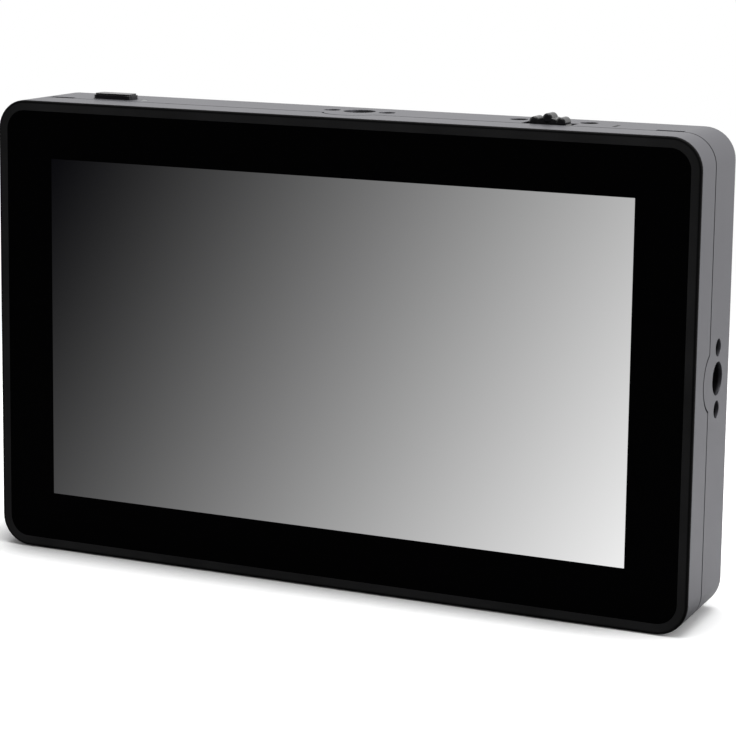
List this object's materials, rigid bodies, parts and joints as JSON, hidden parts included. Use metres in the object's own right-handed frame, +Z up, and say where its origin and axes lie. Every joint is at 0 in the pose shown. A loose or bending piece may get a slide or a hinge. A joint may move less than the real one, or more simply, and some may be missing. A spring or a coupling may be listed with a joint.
{
  "type": "camera field monitor",
  "caption": "Slim on-camera video monitor with a glass front, a top jog wheel and keys, tripod threads and a rear battery slide.",
  "frame": {"origin": "middle of the bounding box's bottom face, the level the monitor stands on", "axes": "-Y out of the glass front, +X to the viewer's right, +Z up to the face with the controls"},
  "size_m": [0.1464, 0.0272, 0.0936],
  "materials": {
    "cover_glass": "polished, black behind, the picture area clear",
    "tape": "matt black foam tape",
    "bezel": "matt black",
    "panel": "dark glossy panel",
    "backlight_tray": "white satin",
    "flex": "amber film",
    "light_plastic": "matt ivory",
    "bare_aluminium": "bare rolled",
    "steel_screw": "zinc plated",
    "shell": "fine blasted and anodised grey",
    "dark_screw": "black oxide",
    "circuit_board": "green solder mask",
    "chip": "matt moulded",
    "thermal_pad": "soft matt",
    "socket_metal": "bright nickel",
    "dark_plastic": "matt black",
    "key": "black, half gloss",
    "plunger": "matt dark grey",
    "wheel": "black, half matt",
    "steel_pin": "ground",
    "light_guide": "clear, lightly frosted",
    "thread_steel": "nickel plated",
    "battery_plate": "fine textured black",
    "contact_metal": "gold flashed",
    "release": "matt grey",
    "spring_steel": "bright wire"
  },
  "bodies": {
    "housing": {"cover_glass": "cover_glass", "glass_tape": "tape", "bezel": "bezel", "display_panel": "panel", "backlight": "backlight_tray", "display_flex": "flex", "flex_connector": "light_plastic", "chassis_plate": "bare_aluminium", "chassis_screws": "steel_screw", "front_shell": "shell", "rear_shell": "shell", "housing_screws": "dark_screw", "main_board": "circuit_board", "board_screws": "steel_screw", "processor": "chip", "thermal_pad": "thermal_pad", "heat_sink": "bare_aluminium", "video_sockets": "socket_metal", "headphone_socket": "dark_plastic", "data_socket": "socket_metal", "dc_inlet": "dark_plastic", "control_board": "circuit_board", "control_screws": "steel_screw", "board_link": "dark_plastic", "key_switches": "dark_plastic", "jog_base": "dark_plastic", "jog_switch": "dark_plastic", "status_led": "light_plastic", "status_light": "light_guide", "top_mount": "thread_steel", "side_mount": "thread_steel", "bottom_mount": "thread_steel", "mount_screws": "steel_screw", "battery_plate": "battery_plate", "plate_screws": "dark_screw", "contact_block": "battery_plate", "battery_contacts": "contact_metal", "release_spring": "spring_steel"},
    "power_key": {"power_button": "key", "power_plunger": "plunger"},
    "left_key": {"function_button_left": "key", "function_plunger_left": "plunger"},
    "right_key": {"function_button_right": "key", "function_plunger_right": "plunger"},
    "jog_rocker": {"jog_carrier": "plunger", "jog_plunger": "plunger"},
    "jog": {"jog_wheel": "wheel", "jog_axle": "steel_pin"},
    "release": {"release_button": "release"}
  },
  "joints": [
    {"name": "power_press", "type": "slide", "parent": "housing", "child": "power_key", "axis": [0, 0, -1], "range_m": [0, 0.0005], "stiffness_N_per_m": 600, "springref_m": -0.0005},
    {"name": "left_key_press", "type": "slide", "parent": "housing", "child": "left_key", "axis": [0, 0, -1], "range_m": [0, 0.0005], "stiffness_N_per_m": 400, "springref_m": -0.0005},
    {"name": "right_key_press", "type": "slide", "parent": "housing", "child": "right_key", "axis": [0, 0, -1], "range_m": [0, 0.0005], "stiffness_N_per_m": 400, "springref_m": -0.0005},
    {"name": "wheel_click", "type": "slide", "parent": "housing", "child": "jog_rocker", "axis": [0, 0, -1], "range_m": [0, 0.0005], "stiffness_N_per_m": 800, "springref_m": -0.0005},
    {"name": "wheel_turn", "type": "hinge", "parent": "jog_rocker", "child": "jog", "pos_m": [0.0403, -0.00225, 0.0874], "axis": [0, 1, 0], "continuous": true},
    {"name": "battery_release", "type": "slide", "parent": "housing", "child": "release", "axis": [0, -1, 0], "range_m": [0, 0.0024], "stiffness_N_per_m": 700, "springref_m": -0.001, "deforming": ["release_spring"]}
  ]
}
